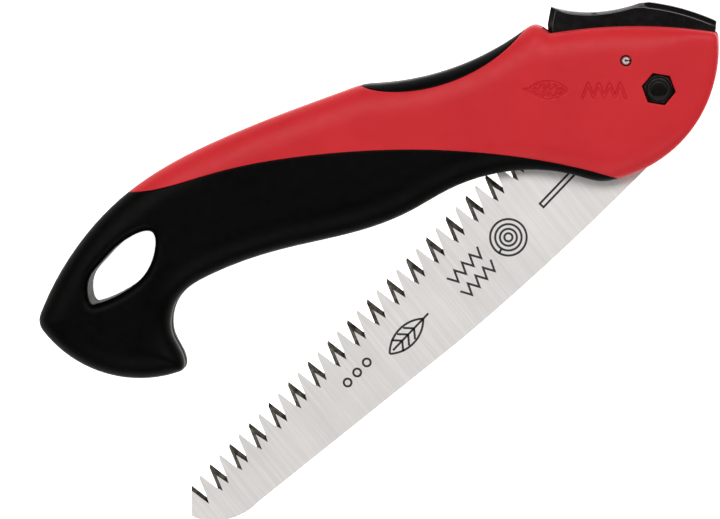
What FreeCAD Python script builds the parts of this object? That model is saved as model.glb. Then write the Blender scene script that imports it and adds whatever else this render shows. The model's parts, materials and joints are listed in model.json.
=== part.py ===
"""Folding pruning saw with a rocker lock lever, lying on its left side.

Every piece is drawn about the pivot bolt: X runs along the open blade's back edge, Y up
towards the lock lever, Z towards the nut. The blade is drawn open, and placed at its rest
angle. The row frame has its origin under the middle of the whole saw's box.
"""
import FreeCAD, Part
import Sketcher
import math
import os
import re

Vector = FreeCAD.Vector

SIZES = {
    # where the pivot stands in the row frame, and the blade's angles about it
    "pivot_x": 83.03,
    "pivot_y": 52.08,
    "pivot_z": 10.0,
    "closed_angle": 200.7,
    "rest_angle": 218.96,
    # handle, across its thickness
    "half_thickness": 10.0,
    "edge_round": 1.2,
    "skin": 2.5,
    "frame_half": 5.5,
    "slot_half": 1.3,
    "well_half": 4.7,
    "hole_lining": 1.2,
    "tool_reach": 12.0,
    "slot_end_radius": 190.2,
    "slot_tooth_gap": 1.2,
    # blade
    "blade_thickness": 1.3,
    "tooth_pitch": 4.255,
    "tooth_depth": 6.0,
    "tooth_count": 39,
    "tooth_line_slope": 7.62,
    "tang_radius": 9.5,
    "notch_depth": 2.0,
    "notch_start": 62.0,
    "notch_end": 75.0,
    # pivot stack
    "bush_bore": 2.6,
    "bush_radius": 4.0,
    "blade_bore": 4.05,
    "washer_radius": 9.0,
    "washer_thickness": 0.6,
    "bolt_radius": 2.5,
    "bolt_head_radius": 4.75,
    "bolt_head_height": 3.0,
    "bolt_socket": 3.0,
    "bolt_end": 9.8,
    "nut_flats": 8.0,
    "nut_height": 4.2,
    "nut_recess_flats": 8.7,
    "ring_outer": 3.3,
    "ring_height": 0.7,
    "flat_washer_radius": 5.0,
    "flat_washer_height": 1.0,
    "head_recess_radius": 5.3,
    # lock lever, its pin and spring
    "latch_x": -9.7,
    "latch_y": 8.3,
    "lever_half": 4.5,
    "hub_radius": 3.0,
    "pin_radius": 1.3,
    "pin_wall": 0.9,
    "pin_half": 8.2,
    "pin_bore": 1.34,
    "pin_cover_bore": 1.65,
    "spring_x": -24.0,
    "spring_foot": 9.3,
    "spring_height": 8.2,
    "spring_mean_radius": 1.95,
    "spring_wire": 0.5,
    "spring_turns": 6.0,
    "spring_pocket_radius": 2.4,
    # frame screws
    "screw_radius": 1.4,
    "screw_head_radius": 2.6,
    "screw_head_height": 1.6,
    "screw_recess_radius": 3.0,
}

SCREWS = {"front": (-50.0, -1.2), "middle": (-100.0, -12.0), "rear": (-141.0, -37.0)}

doc = FreeCAD.newDocument("folding_pruning_saw")
sheet = doc.addObject("Spreadsheet::Sheet", "sizes")
for row, (alias, number) in enumerate(SIZES.items(), 1):
    sheet.set(f"A{row}", alias)
    sheet.set(f"B{row}", str(number))
    sheet.setAlias(f"B{row}", alias)
doc.recompute()


def size(alias):
    return float(sheet.get(alias))


def bind(item, **expressions):
    """Drive an object's properties from the sheet: Length='half_thickness * 2'."""
    for prop, expression in expressions.items():
        linked = re.sub(r"[a-z_]+", lambda word: f"sizes.{word[0]}" if word[0] in SIZES else word[0],
                        expression)
        item.setExpression(prop.replace("__", "."), linked)


def place(item, x="pivot_x", y="pivot_y", z="pivot_z"):
    """Give a finished sub-part its Placement in the row frame."""
    bind(item, Placement__Base__x=x, Placement__Base__y=y, Placement__Base__z=z)
    return item


# ---- curves ----

def flat(point):
    return Vector(point[0], point[1], 0)


def polar(radius, degrees, centre=(0, 0)):
    angle = math.radians(degrees)
    return centre[0] + radius * math.cos(angle), centre[1] + radius * math.sin(angle)


def lines(*points):
    return [Part.LineSegment(flat(a), flat(b)) for a, b in zip(points, points[1:])]


def arc(start, middle, end):
    return Part.Arc(flat(start), flat(middle), flat(end))


def turn(radius, start, end, centre=(0, 0)):
    """An arc about a centre, from one angle to the other, either way round."""
    return arc(*(polar(radius, a, centre) for a in (start, (start + end) / 2, end)))


def spline(points, start=None, end=None):
    curve = Part.BSplineCurve()
    route = [flat(point) for point in points]
    if start is None:
        curve.interpolate(Points=route)
    else:
        curve.interpolate(Points=route, InitialTangent=start, FinalTangent=end)
    return curve


def loop(points):
    """A closed smooth curve through the points."""
    curve = Part.BSplineCurve()
    curve.interpolate(Points=[flat(point) for point in points], PeriodicFlag=True)
    return curve


def heading(curve, at_end):
    """Unit direction of a curve where it starts or ends."""
    parameter = curve.LastParameter if at_end else curve.FirstParameter
    return Vector(*curve.tangent(parameter)[0])


def smooth_join(before, points, after):
    """A spline that leaves one curve and meets the next without a corner."""
    return spline(points, heading(before, True), heading(after, False))


# ---- outlines about the pivot ----

def handle_curves():
    """Side view of the handle: head, belly, hook, back, thumb saddle and lever gap."""
    head = arc((17.2, 14.6), (10.1, -11.4), (-14.7, -27.2))
    hook = arc((-141.6, -84.5), (-162.0, -85.6), (-182.3, -72.6))
    saddle = arc((-84.5, 0.9), (-62.0, 5.2), (-39.9, 16.9))
    top = arc((-28.0, 16.7), (-5.0, 18.3), (15.4, 16.7))
    belly = smooth_join(head, [
        (-14.7, -27.2), (-24.7, -25.6), (-39.2, -24.2), (-61.7, -30.0), (-73.0, -36.4), (-84.9, -41.4),
        (-112.0, -48.2), (-132.3, -55.6), (-142.8, -64.0), (-143.6, -73.8), (-140.4, -80.5),
        (-141.6, -84.5)], hook)
    back = spline([(-182.1, -65.2), (-174.6, -51.1), (-156.9, -31.3), (-127.9, -14.9), (-110.0, -7.6),
                   (-93.5, -1.5)])
    butt = smooth_join(hook, [(-182.3, -72.6), (-183.4, -69.5), (-182.1, -65.2)], back)
    rise = smooth_join(back, [(-93.5, -1.5), (-84.5, 0.9)], saddle)
    bump = smooth_join(saddle, [(-39.9, 16.9), (-36.2, 18.3), (-33.0, 16.6), (-28.0, 16.7)], top)
    corner = smooth_join(top, [(15.4, 16.7), (17.2, 14.6)], head)
    return [head, belly, hook, butt, back, rise, saddle, bump, top, corner]


def beside(curve, distance, first, last, count):
    """Points along part of a curve, stepped off to its right by a distance."""
    span = curve.LastParameter - curve.FirstParameter
    points = []
    for step in range(count):
        parameter = curve.FirstParameter + span * (first + (last - first) * step / (count - 1))
        point = curve.value(parameter)
        along = Vector(*curve.tangent(parameter)[0]).normalize()
        points.append((point.x + along.y * distance, point.y - along.x * distance))
    return points


def core_curves():
    """The stiff core's edge, one skin's thickness inside the handle's."""
    head, belly, hook, butt, back, rise, saddle, bump, top, corner = handle_curves()
    stretches = [(head, 0.03, 0.97, 9), (belly, 0.04, 0.86, 14), (hook, 0.08, 0.96, 7),
                 (back, 0.02, 0.97, 7), (saddle, 0.02, 0.95, 5), (top, 0.02, 0.95, 4)]
    routes = [beside(curve, size("skin"), first, last, count)
              for curve, first, last, count in stretches]
    path = []
    for route, following in zip(routes, routes[1:] + routes[:1]):
        path.append(spline(route))
        path += lines(route[-1], following[0])
    return path


def cover_curves():
    """Everything above the line where the hard cover meets the soft grip."""
    seam = spline([(-164.0, -30.6), (-156.2, -31.2), (-130.8, -25.2), (-101.6, -19.8), (-64.2, -18.2),
                   (-33.9, -21.3), (-13.3, -26.1), (-6.0, -28.6)])
    return [seam] + lines((-6.0, -28.6), (40.0, -35.0), (40.0, 40.0), (-164.0, 40.0), (-164.0, -30.6))


def pad_curves():
    """The thumb pad's lower edge, closed above the handle."""
    seam = spline([(-92.0, 3.0), (-88.2, 0.6), (-77.0, -1.2), (-61.6, 1.7), (-48.3, 8.7), (-37.6, 20.0)])
    return [seam] + lines((-37.6, 20.0), (-37.6, 30.0), (-92.0, 30.0), (-92.0, 3.0))


def lanyard_curves():
    """The rounded three-cornered hole near the butt."""
    rim = [(-166.4, -64.3), (-157.3, -60.2), (-149.5, -51.2), (-149.5, -42.9), (-157.3, -45.2),
           (-165.2, -52.7), (-168.5, -58.6)]
    return [loop(rim)]


def lined_curves():
    """The same hole in the stiff core, larger by the soft lining."""
    return [loop(beside(lanyard_curves()[0], size("hole_lining"), 0.0, 0.9, 10))]


def closed(point):
    """Where a point of the open blade lies when the saw is folded."""
    angle = math.radians(size("closed_angle"))
    return (point[0] * math.cos(angle) - point[1] * math.sin(angle),
            point[0] * math.sin(angle) + point[1] * math.cos(angle))


def slot_curves():
    """The slot that the folded blade lies in, open along the belly and round the head."""
    tooth_gap = size("slot_tooth_gap")
    end_radius = size("slot_end_radius")
    heel_top = closed((22.9, tooth_line(22.9) - tooth_gap))
    butt_x = end_radius * math.cos(math.radians(1.6))
    start_angle = math.degrees(math.atan2(tooth_line(butt_x) - tooth_gap, butt_x)) + size("closed_angle")
    end_angle = start_angle + 10.0
    wall = turn(end_radius, start_angle, end_angle)
    tang_clear = turn(10.0, 54.0, 120.0)
    path = lines(heel_top, polar(end_radius, start_angle))
    path.append(wall)
    path += lines(polar(end_radius, end_angle), (60.0, -150.0), (60.0, 52.5), polar(10.0, 54.0))
    path.append(tang_clear)
    path += lines(polar(10.0, 120.0), (size("latch_x"), size("latch_y")), (-13.5, 9.65), heel_top)
    return path


def well_curves():
    """The space between the two halves that the lever rocks in."""
    rim = 9.6
    latch = (size("latch_x"), size("latch_y"))
    return (lines((-34.6, 40.0), (-34.6, 11.5), (-14.6, 11.5), (-13.2, 9.0), latch,
                  polar(rim, 118.0))
            + [turn(rim, 118.0, 50.0)]
            + lines(polar(rim, 50.0), (17.8, 16.2), (40.0, 34.4), (40.0, 40.0), (-34.6, 40.0)))


def lever_curves():
    """Side view of the rocker lever: thumb scoop, crest, nose, lock tooth and hub."""
    latch = (size("latch_x"), size("latch_y"))
    tooth_radius = size("tang_radius") + 0.2
    first = size("notch_start") + 0.4
    last = size("notch_end") - 0.4
    hub = turn(size("hub_radius"), -215.0, 15.0, latch)
    hub_left = polar(size("hub_radius"), -215.0, latch)
    hub_right = polar(size("hub_radius"), 15.0, latch)
    scoop = spline([(-31.6, 23.7), (-23.0, 22.2), (-13.0, 23.0), (-4.7, 25.4)])
    crest = spline([(-4.7, 25.4), (6.5, 23.4), (15.9, 20.1)])
    path = [crest]
    path += lines((15.9, 20.1), (16.7, 19.3), (16.4, 16.6), polar(tooth_radius, first),
                  polar(tooth_radius, last), polar(12.4, last + 8.0), (-5.5, 12.4), hub_right)
    path.append(hub)
    path += lines(hub_left, (-13.5, 14.0), (-17.0, 14.5), (-32.9, 14.5), (-32.9, 18.6),
                  (-32.2, 22.6), (-31.6, 23.7))
    return path + [scoop]


def tooth_line(x):
    """Height of the tooth tips along the open blade."""
    return -5.14 + math.tan(math.radians(size("tooth_line_slope"))) * (x - 107.9)


def tooth_points():
    """The toothed edge from the nose back to the heel, one bevelled point a pitch."""
    slope = math.radians(size("tooth_line_slope"))
    along = Vector(math.cos(slope), math.sin(slope), 0)
    inward = Vector(-math.sin(slope), math.cos(slope), 0)
    pitch = size("tooth_pitch")
    depth = size("tooth_depth")
    gullet = 0.46
    front_flank = [(gullet, 1.0), (-0.09, 0.12), (-0.315, 0.0)]
    rear_flank = [(-gullet, 1.0)]
    first_x = 184.03
    last = int(size("tooth_count")) - 1
    points = [(182.55, 5.35)]
    for tooth in range(last + 1):
        tip = Vector(first_x, tooth_line(first_x), 0) - along * (pitch * tooth)
        steps = (front_flank if tooth else []) + (rear_flank if tooth < last else [])
        for forward, height in steps:
            point = tip + along * (forward * pitch) + inward * (height * depth)
            points.append((point.x, point.y))
    return points


def blade_curves():
    """Side view of the open blade: back, nose, teeth, heel and round tang with two notches."""
    tang = size("tang_radius")
    floor = tang - size("notch_depth")
    start = size("notch_start")
    end = size("notch_end")
    folded = start - size("closed_angle") + 360.0
    folded_end = end - size("closed_angle") + 360.0
    shoulder = (17.6, 16.1)
    teeth = tooth_points()
    back = spline([shoulder, (46.0, 18.95), (78.1, 21.0), (94.0, 21.5)])
    nose = spline([(169.8, 21.5), (177.3, 21.0), (182.9, 18.4), (186.5, 15.2), (188.1, 12.4)])
    hub_side = (9.375, -12.525)
    hub_low = polar(tang, -67.6)
    hub_near = polar(9.27, -61.25)
    path = lines(polar(tang, 47.0), shoulder)
    path.append(back)
    path += lines((94.0, 21.5), (169.8, 21.5))
    path.append(nose)
    path += lines((188.1, 12.4), *teeth, hub_side)
    path.append(arc(hub_side, hub_near, hub_low))
    path.append(turn(tang, 292.4, folded_end))
    path += lines(polar(tang, folded_end), polar(floor, folded_end), polar(floor, folded),
                  polar(tang, folded))
    path.append(turn(tang, folded, end))
    path += lines(polar(tang, end), polar(floor, end), polar(floor, start), polar(tang, start))
    path.append(turn(tang, start, 47.0))
    return path


# ---- shared tools that cut the handle's halves ----

def profile(name, curves):
    sketch = doc.addObject("Sketcher::SketchObject", name)
    for curve in curves:
        sketch.addGeometry(curve, False)
    return sketch


def slab(name, base, half, side="both"):
    """Extrude a profile from the blade's plane: upwards (right), downwards (left) or both."""
    block = doc.addObject("Part::Extrusion", name)
    block.Base = base
    block.DirMode = "Normal"
    block.Solid = True
    if side != "left":
        bind(block, LengthFwd=half)
    if side != "right":
        bind(block, LengthRev=half)
    return block


def rod(name, radius, bottom, top, x="0", y="0"):
    cylinder = doc.addObject("Part::Cylinder", name)
    bind(cylinder, Radius=radius, Height=f"{top} - ({bottom})", Placement__Base__x=x,
         Placement__Base__y=y, Placement__Base__z=bottom)
    return cylinder


def hexagon(name, flats, bottom, top):
    prism = doc.addObject("Part::Prism", name)
    prism.Polygon = 6
    prism.Placement.Rotation = FreeCAD.Rotation(Vector(0, 0, 1), -9.6)
    bind(prism, Circumradius=f"{flats} / sqrt(3)", Height=f"{top} - ({bottom})",
         Placement__Base__z=bottom)
    return prism


def cut(name, base, *tools):
    """Cut the tools away one after another, which keeps each result clean."""
    for number, tool in enumerate(tools, 1):
        result = doc.addObject("Part::Cut", f"{name}_{number}")
        result.Base = base
        result.Tool = tool
        base = result
    return base


def common(name, base, tool):
    result = doc.addObject("Part::Common", name)
    result.Base = base
    result.Tool = tool
    return result


def rounded(name, block, half, radius):
    """Round the edges where a slab's sides meet its two flat faces."""
    doc.recompute()
    fillet = doc.addObject("Part::Fillet", name)
    fillet.Base = block
    flat_edges = []
    for number, edge in enumerate(block.Shape.Edges, 1):
        box = edge.BoundBox
        if box.ZLength < 0.01 and abs(abs(box.Center.z) - size(half)) < 0.01:
            flat_edges.append((number, size(radius), size(radius)))
    fillet.Edges = flat_edges
    return fillet


def spring_pocket():
    pocket = doc.addObject("Part::Cylinder", "spring_pocket")
    pocket.Placement.Rotation = FreeCAD.Rotation(Vector(1, 0, 0), -90)
    bind(pocket, Radius="spring_pocket_radius", Height="tool_reach", Placement__Base__x="spring_x",
         Placement__Base__y="spring_foot")
    return pocket


def screw_rods(name, radius, bottom, top):
    """One rod at each frame screw."""
    return [rod(f"{name}_{spot}", radius, bottom, top, str(x), str(y)) for spot, (x, y) in SCREWS.items()]


def shell_pieces():
    """The two halves of the handle: stiff frames, hard covers, soft grips and the thumb pad."""
    outline = profile("handle_outline", handle_curves())
    core_outline = profile("core_outline", core_curves())
    hole = profile("lanyard_outline", lanyard_curves())
    lined_hole = slab("lined_hole", profile("lined_outline", lined_curves()), "tool_reach")
    core = cut("core", slab("core_slab", core_outline, "frame_half"), lined_hole)
    through = ("-tool_reach", "tool_reach")
    at_latch = ("latch_x", "latch_y")
    hollows = [slab("blade_slot", profile("slot_outline", slot_curves()), "slot_half"),
               slab("lever_well", profile("well_outline", well_curves()), "well_half"),
               rod("hub_well", "hub_radius + 0.25", "-well_half", "well_half", *at_latch)]
    skin_tools = hollows + [slab("hole_tool", hole, "tool_reach"),
                            rod("pin_way", "pin_cover_bore", *through, *at_latch)]
    cover_region = slab("cover_region", profile("cover_outline", cover_curves()), "tool_reach")
    pad_region = slab("pad_region", profile("pad_outline", pad_curves()), "tool_reach")
    frame_tools = hollows + [lined_hole, spring_pocket(), rod("bush_seat", "bush_radius", *through),
                             rod("pin_seat", "pin_radius", *through, *at_latch)]
    frame_tools += screw_rods("pilot", "screw_radius", "-tool_reach", "frame_half - 1")
    openings = {
        "right": [hexagon("nut_recess", "nut_recess_flats", "1", "tool_reach")],
        "left": [rod("head_recess", "head_recess_radius", "-tool_reach", "-1"),
                 *screw_rods("recess", "screw_recess_radius", "-tool_reach", "-1")]}

    def skin(side):
        body = rounded(f"{side}_body", slab(f"{side}_slab", outline, "half_thickness", side),
                       "half_thickness", "edge_round")
        return cut(f"{side}_skin", body, core, *skin_tools)

    pad = common("thumb_pad_piece", skin("both"), pad_region)
    pad.Label = "thumb_pad"
    pieces = [pad]
    for side in ("right", "left"):
        shell = skin(side)
        cover_blank = common(f"{side}_cover_blank", shell, cover_region)
        made = {
            "cover": cut(f"{side}_cover_piece", cover_blank, pad_region, *openings[side]),
            "grip": cut(f"{side}_grip_piece", shell, cover_region, *openings[side]),
            "frame": cut(f"{side}_frame_piece", slab(f"{side}_core", core_outline, "frame_half", side),
                         *frame_tools)}
        for kind, piece in made.items():
            piece.Label = f"{side}_{kind}"
            pieces.append(piece)
    for piece in pieces:
        place(piece)
    return pieces


# ---- pieces drawn as bodies of their own ----

def origin_plane(body, role):
    return next(item for item in body.Origin.OriginFeatures if item.Role == role)


def new_body(label):
    body = doc.addObject("PartDesign::Body", f"{label}_body")
    body.Label = label
    return body


def sketch_in(body, name, curves, role="XY_Plane", lift=None):
    sketch = body.newObject("Sketcher::SketchObject", f"{body.Label}_{name}")
    sketch.AttachmentSupport = [(origin_plane(body, role), "")]
    sketch.MapMode = "FlatFace"
    for curve in curves:
        sketch.addGeometry(curve, False)
    if lift is not None:
        bind(sketch, AttachmentOffset__Base__z=lift)
    return sketch


def circle_in(body, name, radii, lift=None, centre=("0", "0")):
    """Concentric circles whose radii and centre follow the sheet."""
    sketch = sketch_in(body, name, [], lift=lift)
    for number, radius in enumerate(radii):
        index = sketch.addGeometry(Part.Circle(Vector(number, 0, 0), Vector(0, 0, 1), number + 1), False)
        for kind, expression in (("Radius", radius), ("DistanceX", centre[0]), ("DistanceY", centre[1])):
            arguments = (index, 1.0) if kind == "Radius" else (-1, 1, index, 3, 1.0)
            constraint = sketch.addConstraint(Sketcher.Constraint(kind, *arguments))
            label = f"{kind.lower()}_{number}"
            sketch.renameConstraint(constraint, label)
            bind(sketch, **{f"Constraints__{label}": expression})
    return sketch


def pad_of(body, sketch, length, both_ways=False):
    pad = body.newObject("PartDesign::Pad", f"{sketch.Name}_pad")
    pad.Profile = sketch
    pad.SideType = "Symmetric" if both_ways else "One side"
    bind(pad, Length=length)
    return pad


def pocket_of(body, sketch, length, both_ways=False, upwards=True):
    """Cut a profile out of the body, upwards from its plane unless told otherwise."""
    doc.recompute()
    before = body.Shape.Volume
    pocket = body.newObject("PartDesign::Pocket", f"{sketch.Name}_pocket")
    pocket.Profile = sketch
    pocket.SideType = "Symmetric" if both_ways else "One side"
    pocket.Reversed = upwards and not both_ways
    bind(pocket, Length=length)
    doc.recompute()
    if not body.Shape.Volume < before - 1e-6:
        raise RuntimeError(f"{pocket.Name} cuts nothing")
    return pocket


def revolve(body, name, points, cuts=False):
    """Turn a half-section, given as (radius, height) points, about the body's Z axis."""
    sketch = sketch_in(body, name, lines(*points, points[0]), role="XZ_Plane")
    kind = "PartDesign::Groove" if cuts else "PartDesign::Revolution"
    feature = body.newObject(kind, f"{sketch.Name}_turned")
    feature.Profile = sketch
    feature.ReferenceAxis = (sketch, ["V_Axis"])
    feature.Angle = 360.0
    return feature


def ring(label, outer, inner, bottom, height):
    """A flat ring: washers, the bush and the lock ring."""
    body = new_body(label)
    pad_of(body, circle_in(body, "rings", (outer, inner), lift=bottom), height)
    return place(body)


def make_blade():
    body = new_body("saw_blade")
    pad_of(body, sketch_in(body, "outline", blade_curves()), "blade_thickness", both_ways=True)
    pocket_of(body, circle_in(body, "bore", ("blade_bore",)), "4 * blade_thickness", both_ways=True)
    body.Placement.Rotation = FreeCAD.Rotation(Vector(0, 0, 1), 1)
    bind(body, Placement__Rotation__Angle="rest_angle")
    return place(body)


def make_lever():
    body = new_body("latch_lever")
    pad_of(body, sketch_in(body, "outline", lever_curves()), "2 * lever_half", both_ways=True)
    bore = circle_in(body, "bore", ("pin_bore",), centre=("latch_x", "latch_y"))
    pocket_of(body, bore, "3 * lever_half", both_ways=True)
    seat = sketch_in(body, "spring_seat", [Part.Circle(Vector(size("spring_x"), 0, 0), Vector(0, 0, 1),
                                                       size("spring_pocket_radius"))],
                     role="XZ_Plane")
    bind(seat, AttachmentOffset__Base__z="-spring_foot - spring_height")
    pocket_of(body, seat, "spring_height")
    return place(body)


def make_latch_pin():
    """A slotted spring pin: a rolled tube with a gap and bevelled ends."""
    body = new_body("latch_pin")
    outer = size("pin_radius")
    inner = outer - size("pin_wall")
    half = size("pin_half")
    bevel = 0.3
    revolve(body, "section", [(inner, -half), (outer - bevel, -half), (outer, -half + bevel),
                              (outer, half - bevel), (outer - bevel, half), (inner, half)])
    gap = sketch_in(body, "gap", lines((0, -0.2), (3, -0.2), (3, 0.2), (0, 0.2), (0, -0.2)))
    pocket_of(body, gap, "3 * pin_half", both_ways=True)
    return place(body, x="pivot_x + latch_x", y="pivot_y + latch_y")


def hex_lines(flats):
    """A hexagon turned so that its corners stand at -9.6 degrees and every sixth of a turn."""
    corners = [polar(flats / math.sqrt(3), -9.6 + 60.0 * corner) for corner in range(7)]
    return lines(*corners)


def make_bolt():
    body = new_body("pivot_bolt")
    shank = size("bolt_radius")
    head = size("bolt_head_radius")
    seat = -size("frame_half") - size("flat_washer_height")
    top = seat - size("bolt_head_height")
    end = size("bolt_end")
    bevel = 0.25
    revolve(body, "section", [(0, top), (head - bevel, top), (head, top + bevel), (head, seat),
                              (shank, seat), (shank, end - bevel), (shank - bevel, end), (0, end)])
    socket = sketch_in(body, "socket", hex_lines(size("bolt_socket")), lift=f"{top}")
    pocket_of(body, socket, "2")
    return place(body)


def make_nut():
    """A hexagon with its corners bevelled round the top and a counterbore for the lock ring."""
    body = new_body("pivot_nut")
    pad_of(body, sketch_in(body, "hexagon", hex_lines(size("nut_flats")), lift="frame_half"), "nut_height")
    doc.recompute()
    pocket_of(body, circle_in(body, "bore", ("bolt_radius",), lift="frame_half"), "nut_height")
    ring_seat = circle_in(body, "ring_seat", ("ring_outer",), lift="frame_half + nut_height - ring_height")
    pocket_of(body, ring_seat, "ring_height")
    top = size("frame_half") + size("nut_height")
    flats = size("nut_flats") / 2
    revolve(body, "bevel", [(flats - 0.1, top), (flats + 1.2, top), (flats + 1.2, top - 0.75)], cuts=True)
    return place(body)


def make_screw(label, x, y):
    """A pan-head screw from the left side into the right frame."""
    body = new_body(label)
    seat = -size("frame_half")
    top = seat - size("screw_head_height")
    end = size("frame_half") - 1.5
    shank = size("screw_radius")
    head = size("screw_head_radius")
    revolve(body, "section", [(0, top), (head - 0.5, top), (head, top + 0.5), (head, seat), (shank, seat),
                              (shank, end - 1.0), (0.4, end), (0, end)])
    arms = sketch_in(body, "drive", cross_lines(1.3, 0.35), lift=f"{top}")
    pocket_of(body, arms, "0.9")
    return place(body, x=f"pivot_x + ({x})", y=f"pivot_y + ({y})")


def cross_lines(reach, half):
    """A plus sign, drawn as four identical corners."""
    points = []
    for quarter in range(4):
        for x, y in ((reach, -half), (reach, half), (half, half)):
            angle = math.radians(90 * quarter)
            points.append((x * math.cos(angle) - y * math.sin(angle),
                           x * math.sin(angle) + y * math.cos(angle)))
    return lines(*points, points[0])


def make_spring():
    """The compression spring that holds the lever's tooth down, with its axis along Y."""
    body = new_body("latch_spring")
    wire = size("spring_wire") / 2
    centre = Vector(size("spring_mean_radius"), wire, 0)
    sketch = sketch_in(body, "wire", [Part.Circle(centre, Vector(0, 0, 1), wire)])
    coil = body.newObject("PartDesign::AdditiveHelix", "coil")
    coil.Profile = sketch
    coil.ReferenceAxis = (sketch, ["V_Axis"])
    coil.Mode = "height-turns-angle"
    bind(coil, Height="spring_height - spring_wire", Turns="spring_turns")
    return place(body, x="pivot_x + spring_x", y="pivot_y + spring_foot")


def hardware():
    pieces = [
        ring("pivot_bush", "bush_radius", "bush_bore", "-frame_half", "2 * frame_half"),
        ring("right_blade_washer", "washer_radius", "blade_bore", "blade_thickness / 2 + 0.02",
             "washer_thickness"),
        ring("left_blade_washer", "washer_radius", "blade_bore",
             "-blade_thickness / 2 - 0.02 - washer_thickness", "washer_thickness"),
        ring("bolt_washer", "flat_washer_radius", "bolt_radius", "-frame_half - flat_washer_height",
             "flat_washer_height"),
        ring("nut_lock_ring", "ring_outer", "bolt_radius", "frame_half + nut_height - ring_height",
             "ring_height"),
        make_bolt(),
        make_nut(),
        make_latch_pin(),
        make_spring(),
    ]
    for name, (x, y) in SCREWS.items():
        pieces.append(make_screw(f"frame_screw_{name}", x, y))
    return pieces


def check(pieces):
    """Stop on any failed object, and on any sub-part that isn't one valid solid."""
    doc.recompute()
    for item in doc.Objects:
        if {"Invalid", "Error"} & set(item.State):
            raise RuntimeError(f"{item.Name} failed: {item.State}")
    for piece in pieces:
        shape = piece.Shape
        if shape.isNull() or not shape.isValid():
            raise RuntimeError(f"{piece.Label} has no valid shape")
        box = shape.BoundBox
        print(f"{piece.Label:22s} solids {len(shape.Solids)}  volume {shape.Volume:10.2f}  "
              f"x {box.XMin:8.2f} {box.XMax:8.2f}  y {box.YMin:7.2f} {box.YMax:7.2f}  "
              f"z {box.ZMin:6.2f} {box.ZMax:6.2f}")


def main():
    pieces = shell_pieces() + hardware() + [make_blade(), make_lever()]
    check(pieces)
    os.makedirs("parts", exist_ok=True)
    for piece in pieces:
        piece.Shape.exportStep(f"parts/{piece.Label}.step")


main()
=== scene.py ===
"""Looks of the folding pruning saw: domed covers and grips, ground blade, materials and light."""

import json
import math

import bmesh
import bpy
import numpy as np
from mathutils import Matrix, Vector
from mathutils.geometry import delaunay_2d_cdt


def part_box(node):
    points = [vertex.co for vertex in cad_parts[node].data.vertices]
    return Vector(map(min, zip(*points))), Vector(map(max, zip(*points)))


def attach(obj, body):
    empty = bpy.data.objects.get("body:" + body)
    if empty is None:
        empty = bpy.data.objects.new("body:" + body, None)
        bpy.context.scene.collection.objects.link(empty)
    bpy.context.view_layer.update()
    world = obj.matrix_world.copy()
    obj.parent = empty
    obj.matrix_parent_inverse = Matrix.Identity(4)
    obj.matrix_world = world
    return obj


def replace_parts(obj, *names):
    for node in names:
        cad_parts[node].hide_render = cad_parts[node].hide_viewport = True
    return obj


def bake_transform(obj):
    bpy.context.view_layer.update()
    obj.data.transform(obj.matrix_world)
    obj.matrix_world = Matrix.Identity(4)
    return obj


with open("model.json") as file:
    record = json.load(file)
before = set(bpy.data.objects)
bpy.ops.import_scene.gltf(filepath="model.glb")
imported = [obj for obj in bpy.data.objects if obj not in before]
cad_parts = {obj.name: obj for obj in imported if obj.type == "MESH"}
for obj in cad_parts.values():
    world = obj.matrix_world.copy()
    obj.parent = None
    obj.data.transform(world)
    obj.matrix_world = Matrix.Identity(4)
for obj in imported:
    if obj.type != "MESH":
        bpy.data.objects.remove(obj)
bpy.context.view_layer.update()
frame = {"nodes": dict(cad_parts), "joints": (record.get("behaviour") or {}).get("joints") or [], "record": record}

MM = 0.001
JOINTS = {joint["name"]: joint for joint in frame["joints"]}
PIVOT = np.array(JOINTS["blade_fold"]["pos_m"]) / MM

# Distances at which points count as one, in metres.
WELD = 1e-7
PLANE_WELD = 1e-8


def half_thickness(node):
    """Half of a CAD node's thickness, in millimetres."""
    low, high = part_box(node)
    return (high.z - low.z) / 2 / MM


# Sizes in millimetres. Places and heights are about the pivot.
FACE_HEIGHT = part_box("right_cover")[1].z / MM - PIVOT[2]
BLADE_HALF = half_thickness("saw_blade")
LEVER_HALF = half_thickness("latch_lever")
BLADE_REST_DEGREES = 218.96
TOOTH_SLOPE_DEGREES = 7.62


# ---- small mesh helpers ----

def to_row(points):
    """Points about the pivot, in millimetres, to the row frame in metres."""
    return (np.asarray(points, float) + PIVOT) * MM


def about_pivot(points):
    """Points in the row frame in metres to millimetres about the pivot."""
    return np.asarray(points, float) / MM - PIVOT


def new_object(name, verts, faces, body, material):
    """A mesh from points about the pivot, riding on a body."""
    mesh = bpy.data.meshes.new(name)
    mesh.from_pydata([tuple(v) for v in to_row(verts)], [], [tuple(f) for f in faces])
    mesh.validate()
    return finish_object(name, mesh, body, material)


def finish_object(name, mesh, body, material):
    """A mesh as a piece with one material, riding on a body."""
    piece = bpy.data.objects.new(name, mesh)
    bpy.context.scene.collection.objects.link(piece)
    mesh.materials.append(material)
    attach(piece, body)
    return piece


def smooth_by_angle(mesh, degrees):
    """Smooth shading, with edges sharper than the angle kept crisp."""
    bm = bmesh.new()
    bm.from_mesh(mesh)
    limit = math.radians(degrees)
    for face in bm.faces:
        face.smooth = True
    for edge in bm.edges:
        edge.smooth = edge.smooth and edge.calc_face_angle(math.pi) < limit
    bm.to_mesh(mesh)
    bm.free()


def plain_copy(node):
    """An editable copy of a CAD node's mesh, welded."""
    bm = bmesh.new()
    bm.from_mesh(frame["nodes"][node].data)
    bmesh.ops.remove_doubles(bm, verts=bm.verts, dist=WELD)
    for edge in bm.edges:
        edge.smooth = True
    return bm


def cut_at(bm, level, direction, clear=False):
    """Cut a mesh at a height in the row frame, and clear what lies beyond, up or down by direction."""
    bmesh.ops.bisect_plane(bm, geom=bm.verts[:] + bm.edges[:] + bm.faces[:], dist=PLANE_WELD,
                           plane_co=(0, 0, level), plane_no=(0, 0, direction), clear_outer=clear)


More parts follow.
